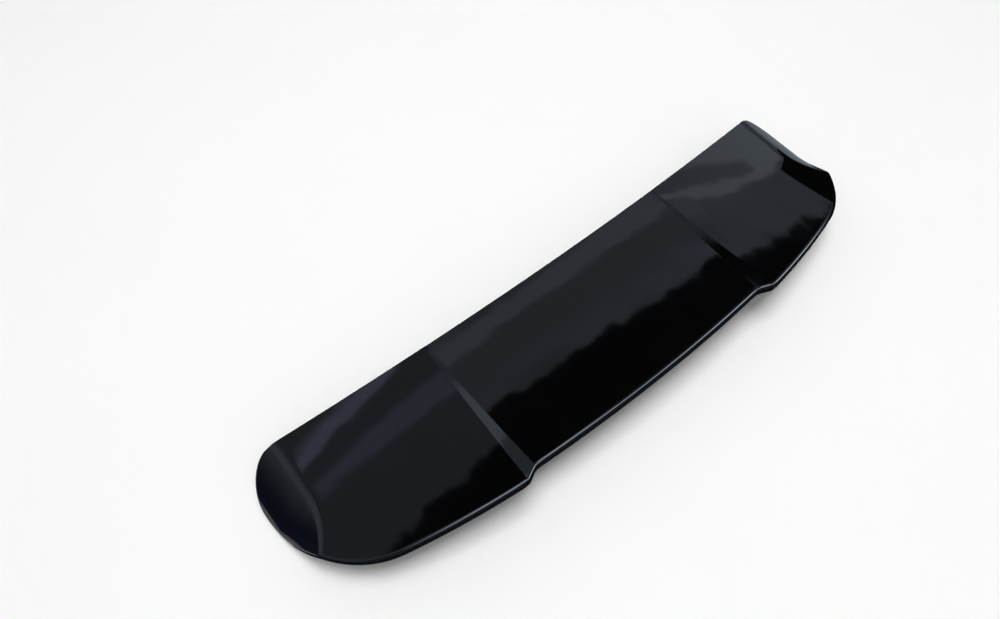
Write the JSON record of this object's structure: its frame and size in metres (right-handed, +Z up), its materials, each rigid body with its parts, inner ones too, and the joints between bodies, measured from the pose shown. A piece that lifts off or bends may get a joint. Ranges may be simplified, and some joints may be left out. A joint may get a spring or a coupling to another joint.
{
  "type": "roof spoiler",
  "caption": "One-piece gloss black roof spoiler: a thin crowned shell with a lower centre panel, turned-down end lobes and a lip along its trailing edge.",
  "frame": {"origin": "middle of the base plane on which the rims of the end lobes lie, halfway between the foremost and rearmost points, on the car's centre plane", "axes": "+X across the car, +Y towards the front of the car, +Z up"},
  "size_m": [1.26, 0.32, 0.1108],
  "materials": {
    "gloss_black": "gloss black paint under clear lacquer on moulded plastic, satin bare plastic underneath"
  },
  "bodies": {
    "root": {"spoiler_shell": "gloss_black"}
  },
  "joints": []
}
